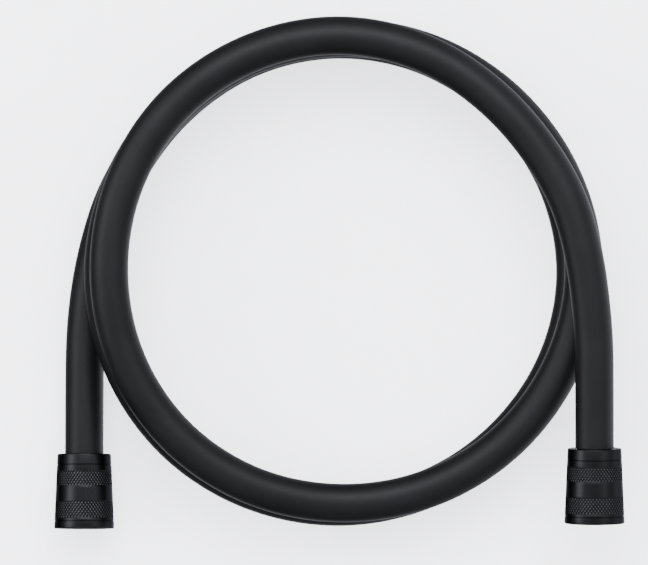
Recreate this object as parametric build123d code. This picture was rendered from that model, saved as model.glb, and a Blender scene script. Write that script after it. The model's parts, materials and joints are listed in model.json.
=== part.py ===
from build123d import *
import os
from math import cos, degrees, radians, sin, tan

# A flexible hose with a conical swivel nut on each end, lying in two and a half loose
# round turns on a flat surface. Millimetres. +Z is up from the surface, the origin is
# the middle of the footprint, and both legs and their nuts point along -Y.
# The inlet end (lowest turn) is on the -X side, the outlet end (top turn) on the +X side.

# ---- hose section -------------------------------------------------------------------
hose_od = 16.0
jacket_id = 11.6
braid_od = 11.5
braid_id = 10.8
liner_od = 10.7
liner_id = 8.5
crimped_od = 14.7        # jacket squeezed under a ferrule

# ---- conical nut, female G1/2 -------------------------------------------------------
nut_length = 31.0
nut_mouth_od = 25.0
nut_neck_od = 22.3
thread_minor_d = 18.63
thread_end = 9.6         # depth of the thread from the mouth
mouth_chamfer = 1.0
relief_d = 19.8          # undercut where the thread runs out
relief_end = 11.6
shoulder_depth = 14.9    # step that pulls on the slip ring and flange
rear_bore_d = 16.6
bush_seat_d = 18.2
bush_seat_depth = 25.4
groove_positions = (3.1, 26.5)   # two fine rings turned in the cone
groove_depth = 0.25
groove_width = 0.5
edge = 0.4               # broken outer edges

# ---- pieces inside a nut ------------------------------------------------------------
bush_od = 18.1
bush_id = 16.2
bush_recess = 0.1        # how far it sits inside the narrow end
bush_flare = 0.5
flange_d = 18.0
flange_front = 11.8      # the washer seals on this face
flange_thickness = 2.0
slip_ring_thickness = 0.9
axial_play = 0.1
washer_thickness = 2.0
washer_id = 12.0
water_bore_d = 6.6
collar_d = 15.4
barb_root_d = 8.2
barb_crest_d = 8.8
barb_pitch = 3.0
barb_count = 4
barb_back = 0.6          # steep side of each barb, then its flat crest
barb_flat = 0.4
barb_foot = 0.1
tip_chamfer_width = 0.2
tip_chamfer_length = 0.5
ferrule_id = 14.8
ferrule_od = 15.9
ferrule_gap = 0.2
dent_depth = 0.15        # two pressed grooves round each ferrule
dent_width = 2.0
dent_floor_width = 1.0
dent_places = (0.3, 0.7)
inlet_hose_end = 16.3    # depth of the hose's cut end from each mouth
outlet_hose_end = 22.8
inlet_ferrule_length = 8.5
outlet_ferrule_length = 7.6
crimp_clearance = 0.4    # squeezed length beyond the ferrule

# ---- strainer in the inlet ----------------------------------------------------------
strainer_od = 11.4
strainer_seat_d = 11.6
strainer_seat_depth = 1.2
strainer_rim_width = 1.0
strainer_rim_height = 1.0
mesh_wire = 0.3
mesh_pitch = 1.0
mesh_thickness = 0.4
mesh_gap = 0.02          # between the mesh and the slot that holds it
mesh_disc_d = strainer_od - strainer_rim_width
funnel_length = 1.5      # from the strainer's seat down to the water bore

# ---- anti-twist swivel in the outlet ------------------------------------------------
swivel_od = 15.6
swivel_bore_d = 11.2
swivel_front_bore_d = 7.2
swivel_bore_start = 14.3
swivel_end = 21.4
journal_d = 11.1
journal_start = 14.6
journal_chamfer = 0.3
oring_section = 1.2
oring_groove_d = 8.7
oring_positions = (16.1, 18.1)
oring_groove_width = 1.4
clip_position = 20.1
clip_thickness = 0.8
clip_groove_width = 1.0
clip_inner_groove_d = 9.8
clip_outer_groove_d = 12.8
clip_id = 9.9
clip_od = 12.6
clip_opening = 60        # degrees
collar_gap = 0.2

# ---- how the hose lies --------------------------------------------------------------
rest_gap = 0.3           # between strands that lie on each other
floor_height = hose_od / 2
level_step = hose_od + rest_gap
ring_centre = (1.1, 1.5)
leg_x = 105.7            # distance of both legs from the middle
step_angle = 22.5        # sixteen points in each turn
# centreline radius at every eighth of a turn, from the top turn's first eighth to the
# bottom turn's last: the loose turns differ a little and wander across each other
turn_radii = [94.3, 96.9, 97.1, 95.9, 96.8, 96.4, 98.6, 100.7,
              97.9, 96.1, 96.3, 98.7, 99.4, 98.4, 97.0, 97.4,
              95.6, 95.8, 95.8]
# how many strands lie under it at the same places
turn_levels = [2, 2, 2, 2, 1.5, 1, 1, 1,
               1, 1, 1, 1, 0.5, 0, 0, 0,
               0, 0, 0]
outlet_tilt = 3.0        # the outlet leg stays up at the top turn's height and droops a little
outlet_mouth = (leg_x, -103.2, 35.8)
inlet_mouth_y = -105.9   # the inlet leg and nut lie on the surface
outlet_straight = 52.0   # how far in from each mouth the hose runs straight
inlet_straight = 50.0
cone_half_angle = degrees((nut_mouth_od - nut_neck_od) / 2 / nut_length)


def end_plane(origin, tilt):
    """Frame of a nut: origin in its mouth, +Z up the hose."""
    direction = Vector(0, cos(radians(tilt)), sin(radians(tilt)))
    return Plane(origin=origin, x_dir=(1, 0, 0), z_dir=direction)


outlet = end_plane(outlet_mouth, outlet_tilt)
inlet_height = nut_mouth_od / 2 * cos(radians(cone_half_angle))
inlet = end_plane((-leg_x, inlet_mouth_y, inlet_height), -cone_half_angle)


def on_axis(plane, depth):
    """Point on a nut's axis, that far in from its mouth."""
    return plane.origin + plane.z_dir * depth


def coil_points():
    """Corners of the route round the turns, pushed out so that the arcs run at the radius."""
    points = []
    for k in range(2 * len(turn_radii) - 1):
        a, b = k // 2, (k + 1) // 2
        radius = (turn_radii[a] + turn_radii[b]) / 2 / cos(radians(step_angle / 2))
        level = (turn_levels[a] + turn_levels[b]) / 2
        angle = radians(45 + k * step_angle)
        points.append(Vector(ring_centre[0] + radius * cos(angle),
                             ring_centre[1] + radius * sin(angle),
                             floor_height + level * level_step))
    return points


def hose_route():
    """Corners of the hose's centreline, from the outlet end to the inlet end."""
    top = floor_height + 2 * level_step
    outlet_leg = [on_axis(outlet, outlet_hose_end),
                  on_axis(outlet, outlet_straight),
                  Vector(105.5, -22.4, top - 0.8),
                  Vector(100.9, 12.5, top + 0.8),
                  Vector(91.7, 39.1, top)]
    inlet_leg = [Vector(-90.6, 39.6, floor_height),
                 Vector(-100.4, 11.1, floor_height),
                 Vector(-105.4, -19.4, floor_height + 0.2),
                 on_axis(inlet, inlet_straight),
                 on_axis(inlet, inlet_hose_end)]
    return outlet_leg + coil_points() + inlet_leg


def bend_radii(points):
    """The largest arc that each corner's two runs allow."""
    radii = []
    for a, b, c in zip(points, points[1:], points[2:]):
        before, after = b - a, c - b
        turn = radians(before.get_angle(after))
        radii.append(0.45 * min(before.length, after.length) / tan(turn / 2))
    return radii


route = hose_route()
radii = bend_radii(route)
centreline = FilletPolyline(*route, radius=radii)


def turned(outline):
    """Solid turned about Z from a closed (radius, depth) outline."""
    corners = [(radius, 0, depth) for radius, depth in outline]
    return revolve(make_face(Polyline(*corners, close=True)), Axis.Z)


def ring(inner_d, outer_d, start, end):
    """Plain turned ring between two depths."""
    return turned([(inner_d / 2, start), (outer_d / 2, start),
                   (outer_d / 2, end), (inner_d / 2, end)])


def cone_radius(depth):
    """Outside radius of the nut at a depth from its mouth."""
    return (nut_mouth_od + (nut_neck_od - nut_mouth_od) * depth / nut_length) / 2


def groove(middle):
    """Corners of a fine ring groove in the cone, in order of depth."""
    half = groove_width / 2
    return [(cone_radius(middle - half), middle - half),
            (cone_radius(middle) - groove_depth, middle - half / 2),
            (cone_radius(middle) - groove_depth, middle + half / 2),
            (cone_radius(middle + half), middle + half)]


def conical_nut():
    thread_r = thread_minor_d / 2
    outside = [(nut_mouth_od / 2 - edge, 0), (cone_radius(edge), edge)]
    for middle in groove_positions:
        outside += groove(middle)
    outside += [(cone_radius(nut_length - edge), nut_length - edge),
                (nut_neck_od / 2 - edge, nut_length)]
    inside = [(bush_seat_d / 2, nut_length), (bush_seat_d / 2, bush_seat_depth),
              (rear_bore_d / 2, bush_seat_depth), (rear_bore_d / 2, shoulder_depth),
              (thread_r, shoulder_depth), (thread_r, relief_end),
              (relief_d / 2, relief_end), (relief_d / 2, thread_end),
              (thread_r, thread_end), (thread_r, mouth_chamfer),
              (thread_r + mouth_chamfer, 0)]
    return turned(outside + inside)


def guide_bush():
    """Sleeve in the narrow end that the hose runs through, flared where it leaves."""
    start, end = bush_seat_depth + axial_play, nut_length - bush_recess
    return turned([(bush_id / 2, start), (bush_od / 2, start), (bush_od / 2, end),
                   (bush_id / 2 + bush_flare, end), (bush_id / 2, end - bush_flare)])


def slip_ring():
    """Loose ring that lets the nut turn against the flange."""
    start = flange_front + flange_thickness + axial_play
    return ring(rear_bore_d, flange_d, start, start + slip_ring_thickness)


def washer():
    return ring(washer_id, flange_d, flange_front - washer_thickness, flange_front)


def ferrule(hose_end, length):
    """Crimped sleeve: two pressed grooves grip the hose."""
    start = hose_end + ferrule_gap
    outer = ferrule_od / 2
    reach, floor_reach = dent_width / 2, dent_floor_width / 2
    outline = [(ferrule_id / 2, start), (outer, start)]
    for place in dent_places:
        middle = start + length * place
        outline += [(outer, middle - reach), (outer - dent_depth, middle - floor_reach),
                    (outer - dent_depth, middle + floor_reach), (outer, middle + reach)]
    outline += [(outer, start + length), (ferrule_id / 2, start + length)]
    return turned(outline)


def barbs(start):
    """Outside corners of the barbed tail, from the hose's end inwards."""
    corners = []
    for k in range(barb_count):
        crest = start + k * barb_pitch + barb_back
        corners += [(barb_crest_d / 2, crest), (barb_crest_d / 2, crest + barb_flat),
                    (barb_root_d / 2, start + (k + 1) * barb_pitch - barb_foot)]
    return [(barb_root_d / 2, start)] + corners


def inlet_tail():
    """Flanged and barbed tail that the hose is crimped on, with a seat for the strainer."""
    tip = inlet_hose_end + barb_count * barb_pitch
    back = flange_front + flange_thickness
    seat = flange_front + strainer_seat_depth
    bore = water_bore_d / 2
    outline = [(strainer_seat_d / 2, flange_front), (flange_d / 2, flange_front),
               (flange_d / 2, back), (collar_d / 2, back), (collar_d / 2, inlet_hose_end)]
    outline += barbs(inlet_hose_end)
    outline += [(bore + tip_chamfer_width, tip), (bore, tip - tip_chamfer_length),
                (bore, seat + funnel_length),
                (strainer_seat_d / 2 - strainer_rim_width, seat),
                (strainer_seat_d / 2, seat)]
    return turned(outline)


def strainer_rim():
    """Ring in the tail's seat, slotted inside to hold the mesh."""
    start = flange_front + strainer_seat_depth - strainer_rim_height
    inner_d = strainer_od - 2 * strainer_rim_width
    whole = ring(inner_d, strainer_od, start, start + strainer_rim_height)
    middle = start + strainer_rim_height / 2
    reach = mesh_thickness / 2 + mesh_gap
    slot = ring(inner_d - 1, mesh_disc_d + 2 * mesh_gap, middle - reach, middle + reach)
    return whole - slot


def strainer_mesh():
    """Square wire grid, cut round, with a hoop round its edge."""
    size = mesh_disc_d
    count = int(size / mesh_pitch / 2)
    places = [k * mesh_pitch for k in range(-count, count + 1)]
    wires = [Pos(x, 0, 0) * Box(mesh_wire, size, mesh_thickness) for x in places]
    wires += [Pos(0, y, 0) * Box(size, mesh_wire, mesh_thickness) for y in places]
    grid = wires[0] + wires[1:]
    disc = Cylinder(size / 2, mesh_thickness)
    hoop = disc - Cylinder(size / 2 - mesh_wire, mesh_thickness)
    middle = flange_front + strainer_seat_depth - strainer_rim_height / 2
    return Pos(0, 0, middle) * ((grid & disc) + hoop)


def outlet_tail():
    """Journal of the anti-twist swivel, collar and barbed tail, bored through."""
    tip = outlet_hose_end + barb_count * barb_pitch
    journal, bore = journal_d / 2, water_bore_d / 2
    outline = [(bore, journal_start), (journal - journal_chamfer, journal_start),
               (journal, journal_start + journal_chamfer)]
    grooves = [(z, oring_groove_width, oring_groove_d / 2) for z in oring_positions]
    grooves.append((clip_position, clip_groove_width, clip_inner_groove_d / 2))
    for middle, width, floor in grooves:
        outline += [(journal, middle - width / 2), (floor, middle - width / 2),
                    (floor, middle + width / 2), (journal, middle + width / 2)]
    collar_start = swivel_end + collar_gap
    outline += [(journal, collar_start), (collar_d / 2, collar_start),
                (collar_d / 2, outlet_hose_end)]
    outline += barbs(outlet_hose_end)
    outline += [(bore + tip_chamfer_width, tip), (bore, tip - tip_chamfer_length)]
    return turned(outline)


def swivel_head():
    """Flanged head that turns on the journal and seals against the shower's thread."""
    back = flange_front + flange_thickness
    outer, bore = swivel_od / 2, swivel_bore_d / 2
    half = clip_groove_width / 2
    return turned([(swivel_front_bore_d / 2, flange_front), (flange_d / 2, flange_front),
                   (flange_d / 2, back), (outer, back), (outer, swivel_end),
                   (bore, swivel_end), (bore, clip_position + half),
                   (clip_outer_groove_d / 2, clip_position + half),
                   (clip_outer_groove_d / 2, clip_position - half),
                   (bore, clip_position - half), (bore, swivel_bore_start),
                   (swivel_front_bore_d / 2, swivel_bore_start)])


def swivel_orings():
    """Two O-rings in the journal's grooves."""
    middle_r = (oring_groove_d + swivel_bore_d) / 4
    return [Pos(0, 0, z) * Torus(middle_r, oring_section / 2) for z in oring_positions]


def retaining_clip():
    """Open spring ring that holds the head on the journal."""
    whole = ring(clip_id, clip_od, clip_position - clip_thickness / 2,
                 clip_position + clip_thickness / 2)
    reach = clip_od
    half = radians(clip_opening / 2)
    wedge = make_face(Polyline((0, 0), (reach * cos(half), reach * sin(half)),
                               (reach * cos(half), -reach * sin(half)), close=True))
    gap = Pos(0, 0, clip_position - clip_thickness) * extrude(wedge, 2 * clip_thickness)
    return whole - gap


def hose_layer(inner_d, outer_d):
    """One concentric layer of the hose along the whole centreline."""
    start = Plane(origin=centreline @ 0, z_dir=centreline % 0)
    section = start * (Circle(outer_d / 2) - Circle(inner_d / 2))
    return sweep(section, path=centreline)


def jacket():
    """Outer layer, squeezed to a smaller diameter under each ferrule."""
    whole = hose_layer(jacket_id, hose_od)
    for plane, hose_end, length in ((inlet, inlet_hose_end, inlet_ferrule_length),
                                    (outlet, outlet_hose_end, outlet_ferrule_length)):
        end = hose_end + length + crimp_clearance
        whole -= plane * ring(crimped_od, 1.1 * hose_od, 0, end)
    return whole


def write(name, shape):
    """One STEP file for each node; pieces of a group stay separate solids."""
    if isinstance(shape, list):
        shape = Compound(children=shape)
    shape.label = name
    export_step(shape, f"parts/{name}.step")
    print(f"{name}: {shape.volume:.0f} mm3")


os.makedirs("parts", exist_ok=True)
whole_length = centreline.length + inlet_hose_end + outlet_hose_end
print(f"hose {centreline.length:.1f} mm long, {whole_length:.1f} mm from mouth to mouth")
print(f"tightest bend {min(radii):.0f} mm")

write("hose_jacket", jacket())
write("reinforcing_braid", hose_layer(braid_id, braid_od))
write("inner_liner", hose_layer(liner_id, liner_od))

for end, plane in (("inlet", inlet), ("outlet", outlet)):
    write(f"{end}_nut", plane * conical_nut())
    write(f"{end}_guide_bush", plane * guide_bush())
    write(f"{end}_slip_ring", plane * slip_ring())
    write(f"{end}_washer", plane * washer())

write("inlet_tail", inlet * inlet_tail())
write("inlet_ferrule", inlet * ferrule(inlet_hose_end, inlet_ferrule_length))
write("inlet_strainer_rim", inlet * strainer_rim())
write("inlet_strainer_mesh", inlet * strainer_mesh())

write("outlet_tail", outlet * outlet_tail())
write("outlet_ferrule", outlet * ferrule(outlet_hose_end, outlet_ferrule_length))
write("outlet_swivel_head", outlet * swivel_head())
write("outlet_swivel_orings", [outlet * each for each in swivel_orings()])
write("outlet_retaining_clip", outlet * retaining_clip())
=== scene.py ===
import json
from math import cos, pi, radians, sin, tau

import bpy
import numpy as np
from mathutils import Matrix, Vector


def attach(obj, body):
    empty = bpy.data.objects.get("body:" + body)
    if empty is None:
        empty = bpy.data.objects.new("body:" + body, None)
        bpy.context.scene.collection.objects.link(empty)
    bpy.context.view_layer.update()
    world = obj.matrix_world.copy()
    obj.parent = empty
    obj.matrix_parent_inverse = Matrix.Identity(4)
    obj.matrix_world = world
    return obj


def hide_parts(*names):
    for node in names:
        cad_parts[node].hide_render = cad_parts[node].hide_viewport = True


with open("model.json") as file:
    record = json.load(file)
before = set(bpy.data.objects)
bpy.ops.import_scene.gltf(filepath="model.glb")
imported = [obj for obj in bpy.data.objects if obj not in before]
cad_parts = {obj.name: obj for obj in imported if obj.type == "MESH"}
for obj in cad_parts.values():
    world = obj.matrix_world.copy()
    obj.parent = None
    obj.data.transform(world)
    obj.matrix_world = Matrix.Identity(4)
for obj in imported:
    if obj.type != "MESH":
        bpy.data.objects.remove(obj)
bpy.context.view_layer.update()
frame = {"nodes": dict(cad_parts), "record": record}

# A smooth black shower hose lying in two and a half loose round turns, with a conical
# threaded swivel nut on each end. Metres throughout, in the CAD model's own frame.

# ---- sizes --------------------------------------------------------------------------
hose_r = 0.008
jacket_inner_r = 0.0058
crimped_r = 0.00735
braid_r = (0.00575, 0.0054)
liner_r = (0.00535, 0.00425)
outlet_hose_end = 0.0228     # depth of the hose's cut end from each nut's mouth
inlet_hose_end = 0.0163
outlet_crimp = 0.0080        # squeezed length under each ferrule
inlet_crimp = 0.0089
crimp_taper = 0.0003         # from the squeezed diameter to the full one

nut_length = 0.031
mouth_r = 0.0125
neck_r = 0.01115
thread_middle = 0.0053       # depth of the thread mounts from the mouth
thread_minor_r = 0.009315
thread_major_r = 0.010478
thread_pitch = 0.001814
thread_span = (0.0010, 0.0096)
relief_r = 0.0099
relief_end = 0.0116
relief_chamfer = 0.0003
shoulder_depth = 0.0149
rear_bore_r = 0.0083
bush_seat_r = 0.0091
bush_seat_depth = 0.0254
outer_edge = 0.0004          # rounding of the cone's two ends
inner_edge = 0.0003          # chamfer of the bush seat
mouth_chamfer = 0.0010

# ---- how the hose lies: the same corners as the CAD centreline -----------------------
floor_height = hose_r
level_step = 0.0163
outlet_straight = 0.052      # how far in from each mouth the hose runs straight
inlet_straight = 0.050
ring_centre = (0.0011, 0.0015)
first_angle = 45
step_angle = 22.5
turn_radii = [0.0943, 0.0969, 0.0971, 0.0959, 0.0968, 0.0964, 0.0986, 0.1007,
              0.0979, 0.0961, 0.0963, 0.0987, 0.0994, 0.0984, 0.0970, 0.0974,
              0.0956, 0.0958, 0.0958]
turn_levels = [2, 2, 2, 2, 1.5, 1, 1, 1,
               1, 1, 1, 1, 0.5, 0, 0, 0,
               0, 0, 0]


def nut_frame(mount):
    """Matrix of a nut's frame: origin in its mouth, +Z up the hose, from its thread mount."""
    found = [m for m in frame["record"]["mounts"] if m["name"] == mount][0]
    inward = -Vector(found["axis"]).normalized()
    origin = Vector(found["pos_m"]) - inward * thread_middle
    side = Vector((1, 0, 0))
    up = inward.cross(side)
    rotation = Matrix((side, up, inward)).transposed()
    return Matrix.Translation(origin) @ rotation.to_4x4()


outlet = nut_frame("outlet_thread")
inlet = nut_frame("inlet_thread")


def on_axis(nut, depth):
    """Point on a nut's axis, that far in from its mouth."""
    return nut @ Vector((0, 0, depth))


def coil_points():
    """Corners of the route round the turns, from the top turn to the bottom one."""
    points = []
    for k in range(2 * len(turn_radii) - 1):
        a, b = k // 2, (k + 1) // 2
        radius = (turn_radii[a] + turn_radii[b]) / 2 / cos(radians(step_angle / 2))
        level = (turn_levels[a] + turn_levels[b]) / 2
        angle = radians(first_angle + k * step_angle)
        points.append(Vector((ring_centre[0] + radius * cos(angle),
                              ring_centre[1] + radius * sin(angle),
                              floor_height + level * level_step)))
    return points


def hose_route():
    """Corners of the hose's centreline, from the outlet end to the inlet end."""
    top = floor_height + 2 * level_step
    outlet_leg = [on_axis(outlet, outlet_hose_end),
                  on_axis(outlet, outlet_straight),
                  Vector((0.1055, -0.0224, top - 0.0008)),
                  Vector((0.1009, 0.0125, top + 0.0008)),
                  Vector((0.0917, 0.0391, top))]
    inlet_leg = [Vector((-0.0906, 0.0396, floor_height)),
                 Vector((-0.1004, 0.0111, floor_height)),
                 Vector((-0.1054, -0.0194, floor_height + 0.0002)),
                 on_axis(inlet, inlet_straight),
                 on_axis(inlet, inlet_hose_end)]
    return outlet_leg + coil_points() + inlet_leg


# ---- camera: straight above, far enough away that the turns keep their true sizes ----
picture_width = 0.2685       # what the picture spans at the hose
camera_height = 5.0
camera_at = (-0.0061, -0.0037)
middle_height = 0.024        # height that the picture's width is measured at
sensor_mm = 36


def make_camera():
    data = bpy.data.cameras.new("camera")
    data.sensor_width = sensor_mm
    data.lens = sensor_mm * (camera_height - middle_height) / picture_width
    data.clip_end = 20
    camera = bpy.data.objects.new("camera", data)
    camera.location = (*camera_at, camera_height)
    bpy.context.scene.collection.objects.link(camera)
    bpy.context.scene.camera = camera


make_camera()


# ---- hose ---------------------------------------------------------------------------
ring_spacing = 0.003         # between the rings of points along the hose
jacket_around = 64
inner_around = 48


def link(name, mesh):
    piece = bpy.data.objects.new(name, mesh)
    bpy.context.scene.collection.objects.link(piece)
    return piece


def distances(points):
    """Distance of each point from the first, along the line through them."""
    steps = np.linalg.norm(np.diff(points, axis=0), axis=1)
    return np.concatenate([[0], np.cumsum(steps)])


def interpolated(distance, along, values):
    """The row of values at a distance along the line."""
    return np.array([np.interp(distance, along, values[:, i]) for i in range(3)])


def smooth_line(corners, spacing):
    """Evenly spaced points along the NURBS spline that has these control points."""
    curve = bpy.data.curves.new("line", "CURVE")
    curve.dimensions = "3D"
    curve.resolution_u = 32
    spline = curve.splines.new("NURBS")
    spline.points.add(len(corners) - 1)
    for point, corner in zip(spline.points, corners):
        point.co = (*corner, 1)
    spline.order_u = 3
    spline.use_endpoint_u = True
    holder = bpy.data.objects.new("line", curve)
    bpy.context.scene.collection.objects.link(holder)
    bpy.context.view_layer.update()
    mesh = bpy.data.meshes.new_from_object(holder)
    dense = np.array([v.co for v in mesh.vertices])
    bpy.data.objects.remove(holder)
    bpy.data.meshes.remove(mesh)
    bpy.data.curves.remove(curve)
    along = distances(dense)
    wanted = np.linspace(0, along[-1], int(along[-1] / spacing) + 1)
    return np.stack([np.interp(wanted, along, dense[:, i]) for i in range(3)], axis=1)


def carried_frames(line):
    """A side and an up direction at each point, carried along the line without twisting."""
    ahead = np.gradient(line, axis=0)
    ahead /= np.linalg.norm(ahead, axis=1)[:, None]
    side = np.array([1.0, 0.0, 0.0])
    sides = []
    for direction in ahead:
        side = side - direction * (side @ direction)
        side /= np.linalg.norm(side)
        sides.append(side)
    sides = np.array(sides)
    return sides, np.cross(ahead, sides)


def ring_mesh(name, rings):
    """Closed mesh of quads over rings of points, the last ring joined to the first."""
    count, around = rings.shape[:2]
    faces = []
    for i in range(count):
        low, high = i * around, (i + 1) % count * around
        for j in range(around):
            k = (j + 1) % around
            faces.append((low + j, low + k, high + k, high + j))
    mesh = bpy.data.meshes.new(name)
    mesh.from_pydata(rings.reshape(-1, 3).tolist(), [], faces)
    mesh.validate()
    return mesh


def smooth(mesh, sharpest):
    """Smooth shading, except across edges sharper than that many degrees."""
    mesh.polygons.foreach_set("use_smooth", [True] * len(mesh.polygons))
    mesh.set_sharp_from_angle(angle=radians(sharpest))


def add_uv(mesh, around, ring_distances):
    """UV map: u from 0 to 1 round each ring, v the ring's distance along the hose."""
    layer = mesh.uv_layers.new(name="UVMap")
    for face in mesh.polygons:
        columns = [v % around for v in face.vertices]
        wraps = max(columns) - min(columns) > 1
        for loop, v in zip(face.loop_indices, face.vertices):
            column = v % around
            u = (column + around if wraps and column == 0 else column) / around
            layer.data[loop].uv = (u, ring_distances[v // around])


def hose_tube(name, outside, inner_r, around):
    """Hollow tube along the line. outside lists (distance along, radius) from end to end."""
    sides, ups = carried_frames(line)
    angles = np.arange(around) * tau / around
    circle = np.stack([np.cos(angles), np.sin(angles)], axis=1)
    stations = outside + [(distance, inner_r) for distance in along[::-1]]
    rings = []
    for distance, radius in stations:
        centre = interpolated(distance, along, line)
        side = interpolated(distance, along, sides)
        up = interpolated(distance, along, ups)
        rings.append(centre + radius * (circle[:, :1] * side + circle[:, 1:] * up))
    mesh = ring_mesh(name, np.array(rings))
    add_uv(mesh, around, [distance for distance, _ in stations])
    smooth(mesh, 40)
    return link(name, mesh)


def jacket_profile(length):
    """(distance, radius) along the jacket: full size, squeezed under both ferrules."""
    first, last = outlet_crimp + ring_spacing, length - inlet_crimp - ring_spacing
    count = int(length / ring_spacing)
    full_size = [(first + (last - first) * k / count, hose_r) for k in range(count + 1)]
    return [(0.0, crimped_r), (outlet_crimp, crimped_r), (outlet_crimp + crimp_taper, hose_r),
            *full_size,
            (length - inlet_crimp - crimp_taper, hose_r), (length - inlet_crimp, crimped_r),
            (length, crimped_r)]


line = smooth_line(hose_route(), ring_spacing)
along = distances(line)

hose = hose_tube("hose", jacket_profile(along[-1]), jacket_inner_r, jacket_around)
braid = hose_tube("braid", [(s, braid_r[0]) for s in along], braid_r[1], inner_around)
liner = hose_tube("liner", [(s, liner_r[0]) for s in along], liner_r[1], inner_around)
for layer, node, slot in ((hose, "hose_jacket", "hose_pvc"),
                          (braid, "reinforcing_braid", "braid_yarn"),
                          (liner, "inner_liner", "liner_pvc")):
    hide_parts(node)
    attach(layer, "root")


# ---- nuts ---------------------------------------------------------------------------
around_nut = 480
knurls_around = 54
knurl_pitch = 0.0019
knurl_depth = 0.00022
knurl_top = 0.62             # where the diamonds' flat tops cut off their rising sides
knurl_rows = 12              # rows of points to each knurl pitch
knurl_bands = ((0.0041, 0.0114), (0.0176, 0.0240))
band_run_out = 0.0004
middle_rows = [0.0125 + 0.001 * k for k in range(5)]     # on the plain part between them
ring_grooves = (0.0031, 0.0265)
groove_depth = 0.00022
groove_half = 0.00025
edge_steps = 4
plain_shade_and_wear = 0.5             # painted shade and wear runs from 0 in a groove, painted darker as shade, to 1 on a diamond's rubbed top
ring_groove_shade = 0.8       # times the plain value: the ring groove painted darker as shade
thread_row_step = 0.00016
thread_run_out = 0.0007
thread_root = 0.16           # share of a half pitch that the thread's flat root takes
thread_flank = 0.68          # and that its sloping side takes
angle = np.arange(around_nut) * tau / around_nut


def cone_r(depth):
    return mouth_r + (neck_r - mouth_r) * depth / nut_length


def saw(x):
    """0 at whole numbers, 1 half way between them."""
    return 1 - np.abs(2 * (x % 1) - 1)


def knurl_height(depth):
    """0 in the crossed grooves and 1 on the diamonds' tops, round one row of a band."""
    across = angle / tau * knurls_around
    up = depth / knurl_pitch
    return np.minimum(np.minimum(saw(across + up), saw(across - up)), knurl_top) / knurl_top


def band_fade(depth):
    """1 inside a knurled band and 0 outside, with a short run-out at its ends."""
    return max(min(1, max(0, (depth - low) / band_run_out), max(0, (high - depth) / band_run_out))
               for low, high in knurl_bands)


def plain_row(radius, depth):
    """A row that is round, with neither the painted shade of a groove nor the rubbed wear of a
    diamond's top.
    """
    return np.full(around_nut, radius), depth, np.full(around_nut, plain_shade_and_wear)


def outside_rows():
    """Rows of (radius at each angle, depth, painted shade and wear) up the cone, from its mouth
    to its neck.
    """
    turns = [pi / 2 * k / edge_steps for k in range(edge_steps + 1)]
    rows = [plain_row(cone_r(outer_edge) - outer_edge * (1 - sin(turn)),
                      outer_edge * (1 - cos(turn))) for turn in turns]
    depths = {round(depth, 6) for depth in middle_rows}
    for middle in ring_grooves:
        depths |= {round(middle + groove_half * share, 6) for share in (-1, -0.4, 0.4, 1)}
    fine = knurl_pitch / knurl_rows
    for low, high in knurl_bands:
        depths |= {round(low + fine * k, 6) for k in range(int((high - low) / fine) + 2)}
    for depth in sorted(depths):
        fade = band_fade(depth)
        height = knurl_height(depth)
        radius = cone_r(depth) - knurl_depth * (1 - height) * fade
        # painted shade in the knurl's grooves, rubbed wear on the diamonds' tops
        shade_and_wear = plain_shade_and_wear + (height - plain_shade_and_wear) * fade
        if any(abs(depth - middle) < groove_half * 0.9 for middle in ring_grooves):
            radius = radius - groove_depth
            # the ring groove painted darker, as shade
            shade_and_wear = shade_and_wear * ring_groove_shade
        rows.append((radius, depth, shade_and_wear))
    rows += [plain_row(cone_r(nut_length) - outer_edge * (1 - cos(turn)),
                       nut_length - outer_edge * (1 - sin(turn))) for turn in turns]
    return rows


def thread_rows():
    """Rows of the right-hand thread, from its inner end out to the mouth."""
    rows = []
    start, end = thread_span
    count = int((end - start) / thread_row_step)
    for k in range(count + 1):
        depth = end - (end - start) * k / count
        phase = saw(depth / thread_pitch - angle / tau)
        shape = np.clip((phase - thread_root) / thread_flank, 0, 1)
        fade = max(0, min(1, (depth - start) / thread_run_out, (end - depth) / thread_run_out))
        rows.append((thread_minor_r + (thread_major_r - thread_minor_r) * shape * fade,
                     depth, np.full(around_nut, plain_shade_and_wear)))
    return rows


def inside_rows():
    """Rows down the inside: bush seat, rear bore, shoulder, relief, thread, mouth."""
    rows = [plain_row(radius, depth) for radius, depth in (
        (bush_seat_r + inner_edge, nut_length), (bush_seat_r, nut_length - inner_edge),
        (bush_seat_r, bush_seat_depth), (rear_bore_r, bush_seat_depth),
        (rear_bore_r, shoulder_depth), (thread_minor_r, shoulder_depth),
        (thread_minor_r, relief_end), (relief_r, relief_end - relief_chamfer),
        (relief_r, thread_span[1] + relief_chamfer))]
    return rows + thread_rows() + [plain_row(thread_minor_r + mouth_chamfer, 0.0)]


def make_nut(name, nut, node, body):
    """Nut that replaces the CAD node, with knurled bands, ring grooves and a real thread."""
    rows = outside_rows() + inside_rows()
    rings = [np.stack([r * np.cos(angle), r * np.sin(angle), np.full(around_nut, depth)], axis=1)
             for r, depth, _ in rows]
    mesh = ring_mesh(name, np.array(rings))
    # per-point value of painted shade (grooves darker) and wear (diamond tops lighter)
    shade_and_wear_layer = mesh.attributes.new("shade_and_wear", "FLOAT", "POINT")
    shade_and_wear_layer.data.foreach_set("value", np.concatenate([shade_and_wear for _, _, shade_and_wear in rows]))
    mesh.transform(nut)
    smooth(mesh, 35)
    piece = link(name, mesh)
    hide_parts(node)
    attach(piece, body)
    return piece


inlet_nut = make_nut("nut_inlet", inlet, "inlet_nut", "inlet_nut")
outlet_nut = make_nut("nut_outlet", outlet, "outlet_nut", "outlet_nut")


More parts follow.
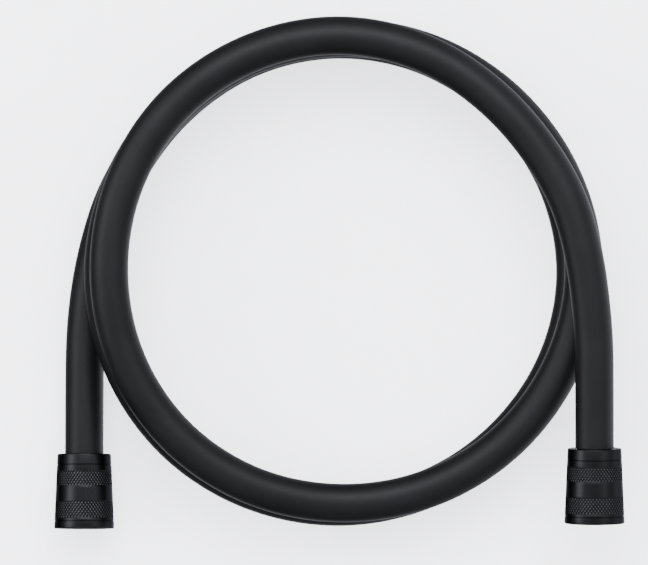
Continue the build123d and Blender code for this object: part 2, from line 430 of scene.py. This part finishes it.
# ---- materials ----------------------------------------------------------------------
class Shader:
    """A Principled material and a few short ways to add nodes to it."""

    def __init__(self, name, color, roughness, metallic=0.0):
        self.material = bpy.data.materials.new(name)
        self.material.use_nodes = True
        self.nodes = self.material.node_tree.nodes
        self.links = self.material.node_tree.links
        self.surface = self.nodes["Principled BSDF"]
        self.set(Base_Color=(*color, 1), Roughness=roughness, Metallic=metallic)

    def set(self, **values):
        for key, value in values.items():
            self.surface.inputs[key.replace("_", " ")].default_value = value

    def add(self, kind, **settings):
        node = self.nodes.new("ShaderNode" + kind)
        for key, value in settings.items():
            if hasattr(node, key):
                setattr(node, key, value)
            else:
                node.inputs[key.replace("_", " ")].default_value = value
        return node

    def join(self, source, target):
        self.links.new(source, target)

    def place(self):
        return self.add("TexCoord").outputs["Object"]

    def noise(self, vector, scale, detail=3.0):
        node = self.add("TexNoise", Scale=scale, Detail=detail)
        self.join(vector, node.inputs["Vector"])
        return node.outputs["Fac"]

    def roughness(self, value, low, high):
        """Roughness from low to high as value goes from 0 to 1."""
        node = self.add("MapRange", To_Min=low, To_Max=high)
        self.join(value, node.inputs["Value"])
        self.join(node.outputs["Result"], self.surface.inputs["Roughness"])

    def color(self, value, stops):
        """Base colour from a list of (value, colour)."""
        node = self.add("ValToRGB")
        elements = node.color_ramp.elements
        while len(elements) < len(stops):
            elements.new(0.5)
        for element, (position, color) in zip(elements, stops):
            element.position = position
            element.color = (*color, 1)
        self.join(value, node.inputs["Fac"])
        self.join(node.outputs["Color"], self.surface.inputs["Base Color"])

    def bump(self, height, distance, strength):
        node = self.add("Bump", Distance=distance, Strength=strength)
        self.join(height, node.inputs["Height"])
        self.join(node.outputs["Normal"], self.surface.inputs["Normal"])


cloudy = (0.3, 0.7)          # part of a noise's range that its two colours blend over


def hose_black():
    """Satin black PVC with a fine grain and slightly uneven gloss."""
    shader = Shader("hose_black", (0.0017, 0.0017, 0.0019), 0.4)
    shader.set(Specular_IOR_Level=0.135)
    place = shader.place()
    shader.color(shader.noise(place, 60), [(cloudy[0], (0.0014, 0.0014, 0.0016)),
                                           (cloudy[1], (0.0021, 0.0021, 0.0024))])
    shader.roughness(shader.noise(place, 240, 4), 0.46, 0.56)
    shader.bump(shader.noise(place, 2600, 2), 0.00003, 0.35)
    return shader.material


def nut_coat():
    """Black metal coat, painted darker in the grooves as shade and rubbed brighter on the
    diamonds' tops.
    """
    shader = Shader("nut_coat", (0.011, 0.0114, 0.0118), 0.34, 1.0)
    shader.set(Specular_Tint=(0.5, 0.5, 0.51, 1))
    place = shader.place()
    shade_and_wear = shader.add("Attribute", attribute_name="shade_and_wear").outputs["Fac"]
    # base colour: near black in the grooves as painted shade, plain coat between, lighter on the
    # rubbed diamond tops
    shader.color(shade_and_wear, [(0, (0.0012, 0.0012, 0.0012)), (plain_shade_and_wear, (0.0120, 0.0124, 0.0128)),
                        (0.8, (0.018, 0.0185, 0.019)), (1, (0.034, 0.0351, 0.0363))])
    shader.roughness(shader.noise(place, 700, 4), 0.30, 0.38)
    shader.bump(shader.noise(place, 5200, 2), 0.00002, 0.3)
    return shader.material


def simple(name, color, roughness, metallic, grain, variation=0.12):
    """A material with noise of that scale in its colour, roughness and surface."""
    shader = Shader(name, color, roughness, metallic)
    place = shader.place()
    dark = [c * (1 - variation) for c in color]
    light = [min(1, c * (1 + variation)) for c in color]
    shader.color(shader.noise(place, grain / 4), [(cloudy[0], dark), (cloudy[1], light)])
    shader.roughness(shader.noise(place, grain), roughness * 0.8, roughness * 1.25)
    shader.bump(shader.noise(place, grain * 2), 0.00002, 0.4)
    return shader.material


hose.data.materials.append(hose_black())
coat = nut_coat()
for piece in (inlet_nut, outlet_nut):
    piece.data.materials.append(coat)

braid.data.materials.append(simple("yarn", (0.72, 0.72, 0.68), 0.8, 0, 1500))
liner.data.materials.append(simple("liner", (0.62, 0.65, 0.63), 0.35, 0, 500))
brass = simple("turned_brass", (0.78, 0.58, 0.28), 0.28, 1, 1800)
steel = simple("stainless", (0.62, 0.62, 0.61), 0.3, 1, 1800)
rubber = simple("washer_rubber", (0.014, 0.014, 0.014), 0.6, 0, 1500)
bush_black = simple("bush_black", (0.016, 0.016, 0.018), 0.42, 0, 1200)
acetal = simple("acetal", (0.8, 0.79, 0.75), 0.4, 0, 900)
by_slot = {"brass": brass, "stainless": steel, "strainer_wire": steel,
           "washer_rubber": rubber, "bush_plastic": bush_black, "slip_plastic": acetal}
for part in frame["record"]["subparts"]:
    material = by_slot.get(part["material_slot"])
    if material:
        node = frame["nodes"][part["node"]]
        node.data.materials.clear()
        node.data.materials.append(material)

# ---- lists of the pieces that go with the hose: its inner layers, both nuts and the other fittings ---
replaced = ("hose_jacket", "reinforcing_braid", "inner_liner", "inlet_nut", "outlet_nut")
fitted = [braid, liner, inlet_nut, outlet_nut]
fitted += [node for name, node in sorted(frame["nodes"].items()) if name not in replaced]


# ---- floor and light ----------------------------------------------------------------
floor_half = 3.0
light_color = (0.95, 0.955, 1.0)
softboxes = (                # name, location, width, height, power
    ("back_softbox", (0.02, 0.66, 1.02), 1.1, 0.6, 24),
    ("left_softbox", (-1.08, 0.12, 0.62), 1.0, 0.5, 14),
    ("right_softbox", (0.85, 0.05, 0.90), 0.8, 0.4, 1.5),
)


def floor():
    """Pale paper floor, which the black surfaces don't mirror."""
    mesh = bpy.data.meshes.new("floor")
    mesh.from_pydata([(-floor_half, -floor_half, 0), (floor_half, -floor_half, 0),
                      (floor_half, floor_half, 0), (-floor_half, floor_half, 0)],
                     [], [(0, 1, 2, 3)])
    piece = link("floor", mesh)
    mesh.materials.append(simple("floor_paper", (0.88, 0.88, 0.89), 0.9, 0, 200, 0.01))
    piece.visible_glossy = False


def area_light(name, location, width, height, power):
    """Rectangular light that faces the middle of the floor."""
    data = bpy.data.lights.new(name, "AREA")
    data.shape = "RECTANGLE"
    data.size = width
    data.size_y = height
    data.energy = power
    data.color = light_color
    lamp = bpy.data.objects.new(name, data)
    lamp.location = location
    lamp.rotation_euler = (-Vector(location)).to_track_quat("-Z", "Y").to_euler()
    bpy.context.scene.collection.objects.link(lamp)
    return lamp


def room():
    """Soft light from all round, whose strength depends on the world direction."""
    world = bpy.data.worlds.new("studio")
    world.use_nodes = True
    nodes, links = world.node_tree.nodes, world.node_tree.links
    background = nodes["Background"]
    background.inputs["Color"].default_value = (0.91, 0.92, 1, 1)
    direction = nodes.new("ShaderNodeTexCoord")
    split = nodes.new("ShaderNodeSeparateXYZ")
    links.new(direction.outputs["Generated"], split.inputs["Vector"])

    def span(axis, start, end, top):
        """0 before start, then rising to top at end, along one axis of the direction."""
        node = nodes.new("ShaderNodeMapRange")
        node.inputs["From Min"].default_value = start
        node.inputs["From Max"].default_value = end
        node.inputs["To Max"].default_value = top
        links.new(split.outputs[axis], node.inputs["Value"])
        return node.outputs["Result"]

    def math(operation, *inputs):
        node = nodes.new("ShaderNodeMath")
        node.operation = operation
        for slot, value in zip(node.inputs, inputs):
            links.new(value, slot)
        return node.outputs["Value"]

    # brighter towards the top, less so straight above
    walls = math("SUBTRACT", span("Z", -0.3, 0.7, 2.2), span("Z", 0.88, 0.97, 0.72))
    # on the right, from the horizon down
    bounce = math("MULTIPLY", span("Z", 0.25, -0.1, 1.0), span("X", 0.2, 0.9, 3.0))
    # dimmer above the horizon on the side of the fittings
    near_side = math("MULTIPLY", span("Z", -0.1, 0.4, 1.0), span("Y", -0.05, -0.6, 0.8))
    # straight below, seen only at the rims of tubes
    ground = span("Z", -0.55, -0.9, 1.9)
    total = math("ADD", math("SUBTRACT", math("ADD", walls, bounce), near_side), ground)
    links.new(total, background.inputs["Strength"])
    bpy.context.scene.world = world


def lights():
    """The room, the softboxes, and an even overhead fill that leaves no shadow or glint."""
    room()
    for softbox in softboxes:
        area_light(*softbox)
    fill = area_light("overhead_fill", (0.0, 0.0, 3.0), 3.0, 3.0, 330)
    fill.data.use_shadow = False
    fill.visible_glossy = False


floor()
lights()
